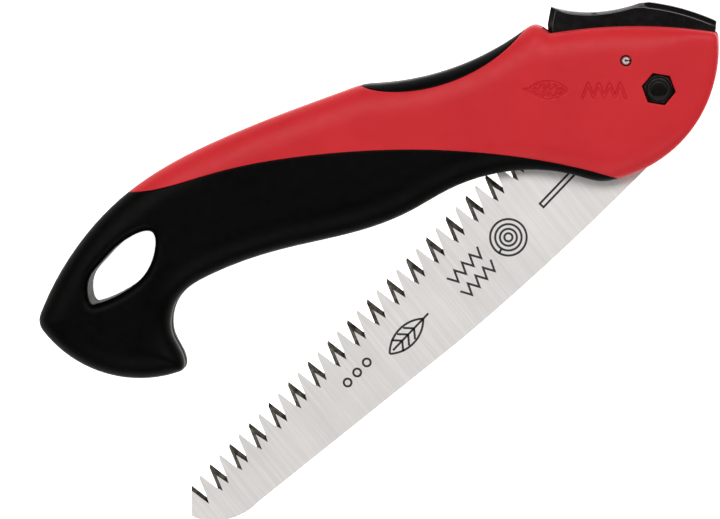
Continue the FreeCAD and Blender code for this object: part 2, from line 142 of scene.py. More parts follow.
def mesh_from(bm, name, degrees):
    """The finished mesh of a bmesh, shaded by angle, with none of the CAD mesh's own normals."""
    bmesh.ops.recalc_face_normals(bm, faces=bm.faces)
    mesh = bpy.data.meshes.new(name)
    bm.to_mesh(mesh)
    bm.free()
    if "custom_normal" in mesh.attributes:
        mesh.attributes.remove(mesh.attributes["custom_normal"])
    smooth_by_angle(mesh, degrees)
    return mesh


def orient(mesh, weld=False):
    """Turn all faces outwards, and first join points that lie together if asked."""
    bm = bmesh.new()
    bm.from_mesh(mesh)
    if weld:
        bmesh.ops.remove_doubles(bm, verts=bm.verts, dist=WELD)
    bmesh.ops.recalc_face_normals(bm, faces=bm.faces)
    bm.to_mesh(mesh)
    bm.free()


def chain_loops(edges):
    """Ordered vertex loops from a set of boundary edges."""
    unused = set(edges)
    loops = []
    while unused:
        edge = unused.pop()
        start, vert = edge.verts
        loop = [start]
        while vert is not start:
            loop.append(vert)
            edge = next(e for e in vert.link_edges if e in unused)
            unused.discard(edge)
            vert = edge.other_vert(vert)
        loops.append(loop)
    return loops


def loop_area(points):
    """Area inside a loop, positive where it runs anticlockwise."""
    x, y = points[:, 0], points[:, 1]
    return 0.5 * np.sum(x * np.roll(y, -1) - np.roll(x, -1) * y)


def segment_distance(points, starts, ends):
    """Distance from each point to the nearest of a set of segments."""
    batch = 2000
    best = np.full(len(points), np.inf)
    for first in range(0, len(points), batch):
        chunk = points[first:first + batch, None, :]
        along = (ends - starts)[None]
        length = np.maximum((along ** 2).sum(-1), 1e-12)
        share = np.clip(((chunk - starts[None]) * along).sum(-1) / length, 0, 1)
        gap = chunk - starts[None] - share[..., None] * along
        best[first:first + batch] = np.sqrt((gap ** 2).sum(-1)).min(1)
    return best


def inside(points, loops):
    """Even-odd test against all loops at once."""
    result = np.zeros(len(points), bool)
    for loop in loops:
        following = np.roll(loop, -1, axis=0)
        for (x0, y0), (x1, y1) in zip(loop, following):
            if y0 == y1:
                continue
            crosses = (y0 > points[:, 1]) != (y1 > points[:, 1])
            at = x0 + (points[:, 1] - y0) * (x1 - x0) / (y1 - y0)
            result ^= crosses & (points[:, 0] < at)
    return result


def closed_segments(loops):
    """Start and end points of all the loops' segments."""
    starts = np.vstack(loops)
    ends = np.vstack([np.roll(loop, -1, axis=0) for loop in loops])
    return starts, ends


def fill(loops, inner):
    """Triangles that fill the loops, holes left open. Loop points keep their order."""
    points = [Vector(p) for loop in loops for p in loop] + [Vector(p) for p in inner]
    edges = []
    first = 0
    for loop in loops:
        count = len(loop)
        edges += [(first + k, first + (k + 1) % count) for k in range(count)]
        first += count
    verts, _, faces, origins, _, _ = delaunay_2d_cdt(points, edges, [], 2, 1e-6)
    source = [min(origin) if origin else None for origin in origins]
    flat = np.array([tuple(v) for v in verts])
    return flat, outside_holes(flat, faces, source, loops), source


def outside_holes(flat, faces, source, loops):
    """Leave out the triangles that lie within holes, found by spreading from edge to edge."""
    clearance = 0.02
    outer = max(range(len(loops)), key=lambda k: abs(loop_area(loops[k])))
    holes = [loop for index, loop in enumerate(loops) if index != outer]
    if not holes:
        return faces
    rim = set()
    first = 0
    for loop in loops:
        count = len(loop)
        rim |= {frozenset((first + k, first + (k + 1) % count)) for k in range(count)}
        first += count
    label = [-1 - k if origin is None else origin for k, origin in enumerate(source)]
    sides = {}
    for index, face in enumerate(faces):
        for a, b in zip(face, face[1:] + face[:1]):
            sides.setdefault(frozenset((label[a], label[b])), []).append(index)
    middles = np.array([flat[face].mean(0) for face in faces])
    clear = segment_distance(middles, *closed_segments(loops)) > clearance
    within = {int(k) for k in np.where(inside(middles, holes) & clear)[0]}
    waiting = list(within)
    while waiting:
        face = faces[waiting.pop()]
        for a, b in zip(face, face[1:] + face[:1]):
            side = frozenset((label[a], label[b]))
            if side not in rim:
                fresh = set(sides[side]) - within
                within |= fresh
                waiting += fresh
    return [face for index, face in enumerate(faces) if index not in within]


# ---- domed covers, grips and thumb pad ----

# Height at which the CAD walls end and the domed surface takes over.
SECTION_HEIGHT = 7.0
# Longest edge along a cut rim, and the band of wall below the dome that is squeezed under it.
RIM_STEP = 0.7
WALL_SQUEEZE = 0.8
# Pieces closer than this share a seam.
SEAM_GAP = 0.12
# Edge height and width of the rounded shoulder at the tail, and how they change at waist and head.
TAIL_EDGE, WAIST_RISE, HEAD_RISE = 4.4, 1.4, 2.5
TAIL_REACH, WAIST_CUT, HEAD_CUT = 9.5, 1.5, 5.9
WAIST = (-40, -30)
HEAD = (-4, 14)
# Radii of the rims, and the area above which a hole is the lanyard hole.
SEAM_RADIUS = 0.3
LANYARD_RADIUS = 2.4
LANYARD_LEAST_AREA = 120
# Spacing of the surface's points, their rings along each edge, and the room left for those rings.
FIELD_STEP = 1.15
ROW_SHARE = 0.87
RING_OFFSETS = (0.1, 0.22, 0.42, 0.75)
RING_CLEAR_SHARE = 0.96
FIELD_CLEAR = 1.1
# The engraved mark: depth, half-width of its flat floor and of the whole groove, and point spacing.
MARK_DEPTH = 0.5
MARK_FLOOR = 0.12
MARK_HALF = 0.5
MARK_STEP = 0.3
MARK_MARGIN = 0.8

def cut_node(name, heights):
    """A copy of a node's mesh with everything beyond the given heights cut away.

    Returns the open bmesh and, for each height, its loops of boundary vertices.
    """
    bm = plain_copy(name)
    levels = [(PIVOT[2] + height) * MM for height in heights]
    for height, level in zip(heights, levels):
        cut_at(bm, level, math.copysign(1, height), clear=True)
    for level in levels:
        by_cuts = {}
        for edge in boundary_at(bm, level):
            cuts = math.ceil(edge.calc_length() / (RIM_STEP * MM)) - 1
            by_cuts.setdefault(cuts, []).append(edge)
        for cuts, chosen in by_cuts.items():
            if cuts > 0:
                bmesh.ops.subdivide_edges(bm, edges=chosen, cuts=cuts)
    return bm, [chain_loops(boundary_at(bm, level)) for level in levels]


def boundary_at(bm, level):
    """Open edges at a height in the row frame."""
    return [e for e in bm.edges if len(e.link_faces) == 1
            and all(abs(v.co.z - level) < 1e-6 for v in e.verts)]


def flat_loop(loop):
    """A loop of vertices as flat points about the pivot."""
    return np.array([about_pivot(v.co)[:2] for v in loop])


class Silhouette:
    """The handle's outer edge, put together from the outer edges of its visible pieces."""

    def __init__(self, rims):
        self.seams = {}
        starts, ends = [], []
        outers = {name: max(loops, key=lambda p: abs(loop_area(p))) for name, loops in rims.items()}
        for name, rim in outers.items():
            others = [r for other, r in outers.items() if other != name]
            gap = segment_distance(rim, *closed_segments(others))
            shared = gap < SEAM_GAP
            self.seams[name] = shared
            following = np.roll(rim, -1, axis=0)
            free = ~(shared & np.roll(shared, -1))
            starts.append(rim[free])
            ends.append(following[free])
        self.starts = np.vstack(starts)
        self.ends = np.vstack(ends)

    def distance(self, points):
        return segment_distance(points, self.starts, self.ends)


def ramp(value, low, high):
    """A smooth rise from 0 at low to 1 at high."""
    t = np.clip((value - low) / (high - low), 0, 1)
    return t * t * (3 - 2 * t)


def dome(points, gap):
    """Height of the moulded surface over the blade's plane, from the gap to the outer edge."""
    x = points[:, 0]
    waist = ramp(x, *WAIST)
    head = ramp(x, *HEAD)
    edge_height = TAIL_EDGE + WAIST_RISE * waist + HEAD_RISE * head
    reach = TAIL_REACH - WAIST_CUT * waist - HEAD_CUT * head
    share = np.clip(gap / reach, 0, 1)
    return edge_height + (FACE_HEIGHT - edge_height) * np.sqrt(1 - (1 - share) ** 2)


def rounded_drop(gap, radius):
    """How far a rounded rim lies below the surface, at a gap from the rim."""
    share = np.clip(gap / radius, 0, 1)
    return radius * (1 - np.sqrt(1 - (1 - share) ** 2))


def rim_radius(loop, outer):
    """Seams and small recesses have tight rims, the lanyard hole a soft one."""
    if not outer and abs(loop_area(loop)) > LANYARD_LEAST_AREA:
        return LANYARD_RADIUS
    return SEAM_RADIUS


def even_field(low, high):
    """Rows of points over a box, every other row shifted by half a step."""
    rows = []
    for k, y in enumerate(np.arange(low[1], high[1], FIELD_STEP * ROW_SHARE)):
        x = np.arange(low[0] + (k % 2) * FIELD_STEP / 2, high[0], FIELD_STEP)
        rows.append(np.column_stack([x, np.full(len(x), y)]))
    return np.vstack(rows)


def shifted_loop(loop, offset):
    """A loop's points, each moved sideways by an offset."""
    along = np.roll(loop, -1, axis=0) - np.roll(loop, 1, axis=0)
    along /= np.maximum(np.linalg.norm(along, axis=1, keepdims=True), 1e-9)
    return loop + offset * np.column_stack([-along[:, 1], along[:, 0]])


def surface_points(loops):
    """Points over a region: rings that follow its edges, then an even field."""
    starts, ends = closed_segments(loops)
    kept = []
    for offset in RING_OFFSETS:
        for loop in loops:
            for sign in (1, -1):
                ring = shifted_loop(loop, sign * offset)
                clear = segment_distance(ring, starts, ends) > offset * RING_CLEAR_SHARE
                kept.append(ring[inside(ring, loops) & clear])
    field = even_field(starts.min(0), starts.max(0))
    field = field[inside(field, loops)]
    kept.append(field[segment_distance(field, starts, ends) > FIELD_CLEAR])
    return np.vstack(kept)


def stroke_segments(strokes):
    """Start and end points of all the strokes' segments."""
    return np.vstack([s[:-1] for s in strokes]), np.vstack([s[1:] for s in strokes])


def engraved_mark(points, strokes):
    """Height change made by the cover's plain engraved mark."""
    if not strokes:
        return 0.0
    gap = segment_distance(points, *stroke_segments(strokes))
    return -MARK_DEPTH * (1 - ramp(gap, MARK_FLOOR, MARK_HALF))


def press_walls(bm, side, silhouette):
    """Squeeze the walls' own points to below the dome, so that a lowered rim doesn't fold them."""
    walls = [vert for vert in bm.verts if not vert.is_boundary]
    points = np.array([about_pivot(vert.co) for vert in walls])
    height = points[:, 2] * side
    top = dome(points, silhouette.distance(points[:, :2]))
    start = top - WALL_SQUEEZE
    share = (height - start) / np.maximum(SECTION_HEIGHT - start, 0.1)
    for k in np.where((top < SECTION_HEIGHT) & (height > start))[0]:
        pressed = start[k] + share[k] * (top[k] - start[k])
        walls[k].co = Vector(to_row((*points[k, :2], side * pressed)))


def add_dome(bm, rim_loops, side, silhouette, seam, strokes):
    """Close a cut node with a domed surface that meets its own walls."""
    press_walls(bm, side, silhouette)
    loops = [flat_loop(loop) for loop in rim_loops]
    outer = max(range(len(loops)), key=lambda k: abs(loop_area(loops[k])))
    inner = surface_points(loops)
    if strokes:
        inner = np.vstack([inner, mark_points(strokes)])
    flat, faces, source = fill(loops, inner)
    height = dome(flat, silhouette.distance(flat))
    for index, loop in enumerate(loops):
        following = np.roll(loop, -1, axis=0)
        starts, ends = loop, following
        if index == outer:
            joint = seam & np.roll(seam, -1)
            starts, ends = loop[joint], following[joint]
        if len(starts):
            radius = rim_radius(loop, index == outer)
            height -= rounded_drop(segment_distance(flat, starts, ends), radius)
    height = height + engraved_mark(flat, strokes)
    for loop in rim_loops:
        for a, b in zip(loop, loop[1:] + loop[:1]):
            bm.edges.get((a, b)).smooth = False
    add_surface(bm, rim_loops, side, flat, height, faces, source)


def add_surface(bm, rim_loops, side, flat, height, faces, source):
    """Add the filled surface to the mesh. Its rim points are the walls' own vertices, moved to height."""
    owners = [vert for loop in rim_loops for vert in loop]
    verts = []
    for (x, y), z, origin in zip(flat, height, source):
        place = Vector(to_row((x, y, side * z)))
        if origin is not None and origin < len(owners):
            owners[origin].co = place
            verts.append(owners[origin])
        else:
            verts.append(bm.verts.new(place))
    for face in faces:
        corners = [verts[k] for k in face]
        if len(set(corners)) == 3:
            bm.faces.new(corners if side > 0 else corners[::-1])


def mark_points(strokes):
    """A finer field of points round the engraved mark."""
    every = np.vstack(strokes)
    low, high = every.min(0) - MARK_MARGIN, every.max(0) + MARK_MARGIN
    x = np.arange(low[0], high[0], MARK_STEP)
    y = np.arange(low[1], high[1], MARK_STEP)
    grid = np.stack(np.meshgrid(x, y), -1).reshape(-1, 2)
    return grid[segment_distance(grid, *stroke_segments(strokes)) < MARK_MARGIN]


def curve_points(centre, radius, first, last, count=24):
    """Points along an arc between two angles in degrees."""
    angles = np.radians(np.linspace(first, last, count))
    return np.column_stack([centre[0] + radius * np.cos(angles), centre[1] + radius * np.sin(angles)])


def leaf_strokes(centre, length):
    """A plain leaf: two arcs, a midrib and side veins."""
    half = length / 2
    radius = length * 0.72
    spread = math.degrees(math.asin(half / radius))
    sink = math.sqrt(radius ** 2 - half ** 2)
    strokes = [curve_points((0, -sink), radius, 90 + spread, 90 - spread),
               curve_points((0, sink), radius, -90 - spread, -90 + spread),
               np.array([(-half * 1.3, 0), (half * 0.8, 0)])]
    for x in (-0.45, -0.1, 0.25):
        for sign in (1, -1):
            strokes.append(np.array([(x * half, 0), ((x + 0.3) * half, sign * half * 0.34)]))
    return [stroke + np.array(centre) for stroke in strokes]


def zigzag_strokes(centre, length, height, teeth):
    """A row of plain saw points."""
    steps = np.arange(2 * teeth + 1)
    x = centre[0] - length / 2 + length * steps / (2 * teeth)
    y = centre[1] + height * (0.5 - (steps + 1) % 2)
    return [np.column_stack([x, y])]


def make_shells(materials):
    """Covers, grips and thumb pad, moulded with a rounded section."""
    sides = {"right": 1, "left": -1}
    mark = leaf_strokes((-32.5, -0.2), 11.0) + zigzag_strokes((-16.0, -0.4), 12.5, 4.0, 4)
    pad, pad_loops = cut_node("thumb_pad", (SECTION_HEIGHT, -SECTION_HEIGHT))
    for (side_name, side), pad_rim in zip(sides.items(), pad_loops):
        made = {"pad": (pad, pad_rim)}
        for kind in ("cover", "grip"):
            bm, loops = cut_node(f"{side_name}_{kind}", (side * SECTION_HEIGHT,))
            made[kind] = (bm, loops[0])
        rims = {kind: [flat_loop(loop) for loop in loops] for kind, (_, loops) in made.items()}
        silhouette = Silhouette(rims)
        for kind, (bm, loops) in made.items():
            strokes = mark if kind == "cover" else []
            add_dome(bm, loops, side, silhouette, silhouette.seams[kind], strokes)
            if kind != "pad":
                store_shell(bm, f"{side_name}_{kind}", materials[kind])
    store_shell(pad, "thumb_pad", materials["grip"])


def store_shell(bm, node, material):
    """The finished shell as a piece on the handle, in the place of its CAD node."""
    crease_degrees = 32
    name = f"{node}_shell"
    piece = finish_object(name, mesh_from(bm, name, crease_degrees), "handle", material)
    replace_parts(piece, node)


# ---- blade ----

# Where the teeth start along the blade, and depths below the tooth line that tell tips from gullets.
TOOTH_START = 20.0
TIP_DEPTH = 1.0
FLANK_DEPTH = 5.0
GULLET_DEPTH = 6.5
# Shifts along the tooth line and inwards: of a tooth's bevel top, and of the gullets on either side.
BEVEL_TOP = (1.0, 3.8)
GULLET_AHEAD = (-0.3, 2.3)
GULLET_BEHIND = (0.8, 2.0)
# How far the bevel of the tooth that the nose cuts off reaches along the nose.
NOSE_BEVEL = 1.4
# A side face that leans by more than this between the blade's two faces is a ground bevel.
BEVEL_LEAN = 0.3


def turned(points, degrees):
    """Flat points turned anticlockwise about the origin."""
    angle = math.radians(degrees)
    turn = np.array([[math.cos(angle), math.sin(angle)], [-math.sin(angle), math.cos(angle)]])
    return points @ turn


def blade_frame(points):
    """Points about the pivot, with the blade turned back to lie open along X."""
    return turned(points, -BLADE_REST_DEGREES)


def from_blade(points):
    """Open-blade points to where the blade lies at rest, about the pivot."""
    return turned(points, BLADE_REST_DEGREES)


def blade_loops():
    """The blade's outer edge and bore, read from the CAD blade at mid-thickness."""
    bm = plain_copy("saw_blade")
    level = PIVOT[2] * MM
    cut_at(bm, level, 1, clear=True)
    loops = [blade_frame(flat_loop(loop)) for loop in chain_loops(boundary_at(bm, level))]
    bm.free()
    return [simplify(loop) for loop in sorted(loops, key=lambda p: -abs(loop_area(p)))]


def simplify(loop):
    """Drop the points that lie on a straight run."""
    before = np.roll(loop, 1, axis=0) - loop
    after = np.roll(loop, -1, axis=0) - loop
    bend = np.abs(before[:, 0] * after[:, 1] - before[:, 1] * after[:, 0])
    scale = np.linalg.norm(before, axis=1) * np.linalg.norm(after, axis=1)
    return loop[bend > 1e-3 * scale]


def tooth_frame(points):
    """Coordinates along the tooth line from the pivot's foot, and inwards from the tips."""
    slope = math.radians(TOOTH_SLOPE_DEGREES)
    along = np.array([math.cos(slope), math.sin(slope)])
    inward = np.array([-math.sin(slope), math.cos(slope)])
    return np.column_stack([points @ along, points @ inward]), along, inward


def bevelled_faces(outer):
    """Where each edge point lies on the blade's two faces: every tooth is ground from one side."""
    local, along, inward = tooth_frame(outer)
    depth = local[:, 1] - local[:, 1].min()
    toothed = outer[:, 0] > TOOTH_START
    lowest = (depth < np.roll(depth, 1)) & (depth < np.roll(depth, -1))
    tips = np.where(toothed & lowest & (depth < TIP_DEPTH))[0]
    tips = tips[np.argsort(-local[tips, 0])]
    faces = {1: outer.copy(), -1: outer.copy()}
    count = len(outer)

    def moved(point, shift):
        return point + inward * shift[1] + along * shift[0]

    for number, tip in enumerate(tips):
        face = faces[1 if number % 2 == 0 else -1]
        top = moved(outer[tip], BEVEL_TOP)
        if number == 0:
            corner = max(outer[tip - 1], outer[(tip + 1) % count], key=lambda point: point[0])
            top = outer[tip] + NOSE_BEVEL * (corner - outer[tip]) / np.linalg.norm(corner - outer[tip])
        face[tip] = top
        for step in (1, -1):
            position = (tip + step) % count
            ahead = local[position, 0] > local[tip, 0]
            while depth[position] < FLANK_DEPTH and toothed[position]:
                face[position] = top
                position = (position + step) % count
            if toothed[position] and depth[position] < GULLET_DEPTH:
                face[position] = moved(outer[position], GULLET_AHEAD if ahead else GULLET_BEHIND)
    return faces


def blade_side(loops, first, side):
    """Triangles over one of the blade's faces. Its points are numbered from first, loop by loop."""
    unique = [drop_repeats(loop) for loop in loops]
    _, cells, source = fill([loop for loop, _ in unique], [])
    owners = []
    for loop, (_, kept) in zip(loops, unique):
        owners += [first + k for k in kept]
        first += len(loop)
    corners = [[owners[source[k]] for k in cell] for cell in cells]
    return corners if side > 0 else [cell[::-1] for cell in corners]


def blade_walls(outer, loops, firsts, verts):
    """Four-sided faces along the edge and round the bore, and which of them are ground bevels."""
    walls, ground = [], []
    start = 0
    for index, loop in enumerate(loops):
        count = len(loop)
        anticlockwise = loop_area(loop if index else outer) > 0
        for k in range(count):
            a, b = start + k, start + (k + 1) % count
            quad = [firsts[-1] + a, firsts[-1] + b, firsts[1] + b, firsts[1] + a]
            if anticlockwise != (index == 0):
                quad.reverse()
            lean = max(np.linalg.norm(np.subtract(verts[quad[0]], verts[quad[3]])[:2]),
                       np.linalg.norm(np.subtract(verts[quad[1]], verts[quad[2]])[:2]))
            walls.append(quad)
            ground.append(int(lean > BEVEL_LEAN))
        start += count
    return walls, ground


def make_blade(materials):
    """The blade: two flat faces, and an edge whose teeth are ground from one side each."""
    outer, *holes = blade_loops()
    loops = {side: [face] + holes for side, face in bevelled_faces(outer).items()}
    verts, faces, firsts = [], [], {}
    for side in (1, -1):
        firsts[side] = len(verts)
        verts += [(*p, side * BLADE_HALF) for p in from_blade(np.vstack(loops[side]))]
        faces += blade_side(loops[side], firsts[side], side)
    walls, ground = blade_walls(outer, loops[1], firsts, verts)
    slots = [0] * len(faces) + ground
    blade = new_object("blade_plate", verts, faces + walls, "blade", materials["blade"])
    blade.data.materials.append(materials["ground"])
    blade.data.polygons.foreach_set("material_index", slots)
    orient(blade.data, weld=True)
    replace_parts(blade, "saw_blade")


def drop_repeats(loop):
    """A loop with points that repeat their neighbour left out, and the indices kept."""
    gap = np.linalg.norm(loop - np.roll(loop, 1, axis=0), axis=1)
    kept = np.where(gap > 1e-6)[0]
    return loop[kept], kept


# ---- printed marks on the blade ----

PRINT_WIDTH = 0.64
PRINT_SUNK = 0.1
PRINT_PROUD = 0.012

def ribbon(stroke, width):
    """A flat band along a stroke, mitred at its bends, as two rows of points."""
    closed = np.linalg.norm(stroke[0] - stroke[-1]) < 1e-6
    points = stroke[:-1] if closed else stroke
    step = np.roll(points, -1, axis=0) - points
    if not closed:
        step[-1] = step[-2]
    step /= np.linalg.norm(step, axis=1, keepdims=True)
    back = np.roll(step, 1, axis=0)
    if not closed:
        back[0] = step[0]
    normal = np.column_stack([-(step + back)[:, 1], (step + back)[:, 0]])
    normal /= np.linalg.norm(normal, axis=1, keepdims=True)
    side = np.column_stack([-step[:, 1], step[:, 0]])
    normal *= (width / 2 / np.maximum((normal * side).sum(1), 0.4))[:, None]
    return points + normal, points - normal, closed


def ribbon_solid(stroke, width, low, high):
    """The same band as a closed thin solid: points and faces."""
    left, right, closed = ribbon(stroke, width)
    count = len(left)
    rows = [np.column_stack([from_blade(edge), np.full(count, level)])
            for edge, level in ((left, high), (right, high), (right, low), (left, low))]
    faces = []
    for k in range(count if closed else count - 1):
        after = (k + 1) % count
        for row in range(4):
            following = (row + 1) % 4
            faces.append((row * count + k, following * count + k, following * count + after,
                          row * count + after))
    if not closed:
        faces.append(tuple(row * count for row in (3, 2, 1, 0)))
        faces.append(tuple(row * count + count - 1 for row in range(4)))
    return np.vstack(rows), faces


def printed_strokes():
    """Plain pictures: an arrow's shaft, growth rings, two rows of saw points, a leaf and circles."""
    centre = (0, 0)

    def laid(strokes, at):
        """Strokes turned to run with the tooth line, and moved to their place on the blade."""
        return [turned(stroke, TOOTH_SLOPE_DEGREES) + np.array(at) for stroke in strokes]

    shaft_length, shaft_half = 17.0, 0.75
    shaft = [np.array([(-shaft_length, -shaft_half), (0, -shaft_half), (0, shaft_half),
                       (-shaft_length, shaft_half)])]
    marks = laid(shaft, (48.9, 5.4))
    radii = (1.2, 2.5, 3.9, 5.4)
    rings = [curve_points(centre, radius, 0, 360, 49) for radius in radii]
    rings.append(np.array([(radii[2], 0.9), (radii[3], 1.25)]))
    marks += laid(rings, (62.5, 6.6))
    for place in ((77.0, 10.9), (77.7, 5.4)):
        marks += laid(zigzag_strokes(centre, 13.0, 3.2, 4), place)
    marks += laid(leaf_strokes(centre, 14.5), (104.5, 10.6))
    for step in range(3):
        ring = curve_points(centre, 1.15, 0, 360, 33)
        marks += laid([ring], (118.6 + 4.1 * step, 9.3 + 0.55 * step))
    return marks


def make_print(material):
    """The marks as one piece: thin bands sunk into the blade's face, standing a hair proud."""
    verts, faces = [], []
    for stroke in printed_strokes():
        points, sides = ribbon_solid(stroke, PRINT_WIDTH, BLADE_HALF - PRINT_SUNK, BLADE_HALF + PRINT_PROUD)
        base = len(verts)
        verts += list(points)
        faces += [[base + k for k in side] for side in sides]
    piece = new_object("blade_print", verts, faces, "blade", material)
    orient(piece.data)


# ---- materials ----

class Nodes:
    """A material's node tree, with short names for the nodes used here."""

    def __init__(self, name):
        self.material = bpy.data.materials.new(name)
        self.material.use_nodes = True
        self.tree = self.material.node_tree
        self.shader = self.tree.nodes["Principled BSDF"]

    def add(self, kind, **inputs):
        node = self.tree.nodes.new(f"ShaderNode{kind}")
        for name, value in inputs.items():
            node.inputs[name.replace("_", " ")].default_value = value
        return node

    def link(self, source, target):
        self.tree.links.new(source, target)

    def set(self, **inputs):
        for name, value in inputs.items():
            self.shader.inputs[name.replace("_", " ")].default_value = value

    def place(self, scale=(1, 1, 1), turn=0.0):
        """Object coordinates in millimetres, stretched and turned about Z."""
        where = self.add("TexCoord")
        mapping = self.add("Mapping")
        mapping.inputs["Scale"].default_value = [s / MM for s in scale]
        spin = self.add("VectorRotate")
        spin.inputs["Angle"].default_value = math.radians(turn)
        self.link(where.outputs["Object"], spin.inputs["Vector"])
        self.link(spin.outputs["Vector"], mapping.inputs["Vector"])
        return mapping.outputs["Vector"]

    def noise(self, vector, scale, detail=3.0, roughness=0.55):
        node = self.add("TexNoise", Scale=scale, Detail=detail, Roughness=roughness)
        self.link(vector, node.inputs["Vector"])
        return node.outputs["Fac"]

    def span(self, value, low, high, start=0.35, stop=0.65):
        node = self.add("MapRange", From_Min=start, From_Max=stop, To_Min=low, To_Max=high)
        self.link(value, node.inputs["Value"])
        return node.outputs["Result"]

    def mix(self, value, first, second):
        node = self.add("Mix")
        node.data_type = "RGBA"
        node.inputs["A"].default_value = (*first, 1)
        node.inputs["B"].default_value = (*second, 1)
        self.link(value, node.inputs["Factor"])
        return node.outputs["Result"]

    def bump(self, height, strength, distance, below=None):
        node = self.add("Bump", Strength=strength, Distance=distance * MM)
        self.link(height, node.inputs["Height"])
        if below is not None:
            self.link(below, node.inputs["Normal"])
        return node.outputs["Normal"]

    def finish(self, colour=None, roughness=None, normal=None):
        for value, name in ((colour, "Base Color"), (roughness, "Roughness"), (normal, "Normal")):
            if value is not None:
                self.link(value, self.shader.inputs[name])
        return self.material


def moulded(name, dark, light, roughness, grain, grain_depth, **inputs):
    """Moulded plastic or rubber: fine grain, faint colour drift and uneven gloss."""
    nodes = Nodes(name)
    where = nodes.place()
    drift = nodes.noise(where, 0.05)
    fine = nodes.noise(where, grain, detail=4.0)
    patches = nodes.noise(where, 0.35, detail=5.0)
    nodes.set(**inputs)
    return nodes.finish(nodes.mix(nodes.span(drift, 0, 1), dark, light),
                        nodes.span(patches, roughness - 0.04, roughness + 0.05),
                        nodes.bump(fine, 0.5, grain_depth))


def blade_steel():
    """Ground steel: fine lines across the blade, in uneven bands."""
    nodes = Nodes("blade_steel")
    across = nodes.place(scale=(1.0, 0.012, 1.0), turn=-BLADE_REST_DEGREES)
    along = nodes.place(turn=-BLADE_REST_DEGREES)
    lines = nodes.noise(across, 3.2, detail=6.0, roughness=0.7)
    coarse = nodes.noise(across, 1.1, detail=2.0)
    cloud = nodes.noise(along, 0.07, detail=4.0)
    nodes.set(Metallic=0.2, IOR=1.6)
    colour = nodes.mix(nodes.span(lines, 0, 1), (0.75, 0.725, 0.70), (0.84, 0.815, 0.79))
    shade = nodes.add("Mix")
    shade.data_type = "RGBA"
    shade.blend_type = "MULTIPLY"
    shade.inputs["Factor"].default_value = 0.35
    nodes.link(colour, shade.inputs["A"])
    nodes.link(nodes.mix(nodes.span(coarse, 0, 1), (0.78, 0.78, 0.78), (1, 1, 1)), shade.inputs["B"])
    return nodes.finish(shade.outputs["Result"], nodes.span(cloud, 0.42, 0.52),
                        nodes.bump(lines, 0.35, 0.02))


def ground_bevel():
    """The hardened tooth bevels: dark, with grinding lines."""
    nodes = Nodes("hardened_bevel")
    where = nodes.place(scale=(1.0, 0.2, 1.0), turn=-BLADE_REST_DEGREES)
    lines = nodes.noise(where, 4.0, detail=5.0)
    cloud = nodes.noise(nodes.place(), 0.6, detail=3.0)
    nodes.set(Metallic=0.8)
    colour = nodes.mix(nodes.span(cloud, 0, 1), (0.022, 0.018, 0.014), (0.16, 0.145, 0.125))
    return nodes.finish(colour, nodes.span(lines, 0.38, 0.55), nodes.bump(lines, 0.3, 0.01))


def machined(name, colour, roughness, metallic=1.0):
    """Small metal parts: turned finish with fine scratches."""
    nodes = Nodes(name)
    where = nodes.place()
    scratches = nodes.noise(where, 5.0, detail=6.0, roughness=0.7)
    cloud = nodes.noise(where, 0.9, detail=3.0)
    nodes.set(Metallic=metallic)
    darker = tuple(c * 0.7 for c in colour)
    return nodes.finish(nodes.mix(nodes.span(cloud, 0, 1), darker, colour),
                        nodes.span(scratches, roughness - 0.06, roughness + 0.1),
                        nodes.bump(scratches, 0.25, 0.01))


def make_materials():
    """One material for each slot of the record, and two more for bevels and print."""
    return {
        "cover": moulded("red_cover", (0.56, 0.017, 0.023), (0.61, 0.021, 0.028), 0.46, 3.0, 0.03,
                         Specular_IOR_Level=0.2),
        "grip": moulded("black_grip", (0.001, 0.0009, 0.0009), (0.0018, 0.0016, 0.0015), 0.42, 4.0, 0.012,
                        Specular_IOR_Level=0.05),
        "core": moulded("black_core", (0.008, 0.008, 0.009), (0.014, 0.014, 0.015), 0.45, 2.5, 0.015),
        "lever": moulded("black_lever", (0.003, 0.002, 0.002), (0.005, 0.004, 0.004), 0.2, 3.0, 0.003,
                         Specular_IOR_Level=0.45),
        "nylon": moulded("nylon_ring", (0.004, 0.004, 0.004), (0.008, 0.008, 0.007), 0.35, 3.0, 0.01,
                         Specular_IOR_Level=0.25),
        "blade": blade_steel(),
        "ground": ground_bevel(),
        "print": moulded("blade_ink", (0.010, 0.009, 0.008), (0.016, 0.015, 0.013), 0.5, 4.0, 0.004),
        "bolt": machined("black_steel", (0.022, 0.02, 0.018), 0.22, 0.85),
        "washer": machined("washer_steel", (0.55, 0.53, 0.5), 0.3),
        "pin": machined("bright_pin", (0.85, 0.83, 0.8), 0.4, 0.4),
    }


# ---- carried-over CAD nodes ----

# Width of the rounded edges, and the angle above which an edge stays crisp in the shading.
SOFTENED = {"latch_lever": (0.4, 12), "pivot_nut": (0.18, 40), "nut_lock_ring": (0.12, 40),
            "pivot_bolt": (0.2, 40), "bolt_washer": (0.1, 40)}
# Outward edges that turn by more than this are rounded off.
ROUNDED_DEGREES = 24


def dress_nodes(materials):
    """Materials for the CAD nodes that show, and edge-softened copies of a few."""
    slots = {part["node"]: part["material_slot"] for part in frame["record"]["subparts"]}
    for name, node in frame["nodes"].items():
        slot = slots[name]
        node.data.materials.clear()
        node.data.materials.append(materials[slot])
        if name in SOFTENED:
            body = "latch" if name == "latch_lever" else "handle"
            mesh = softened_mesh(name, *SOFTENED[name])
            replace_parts(finish_object(f"{name}_soft", mesh, body, materials[slot]), name)


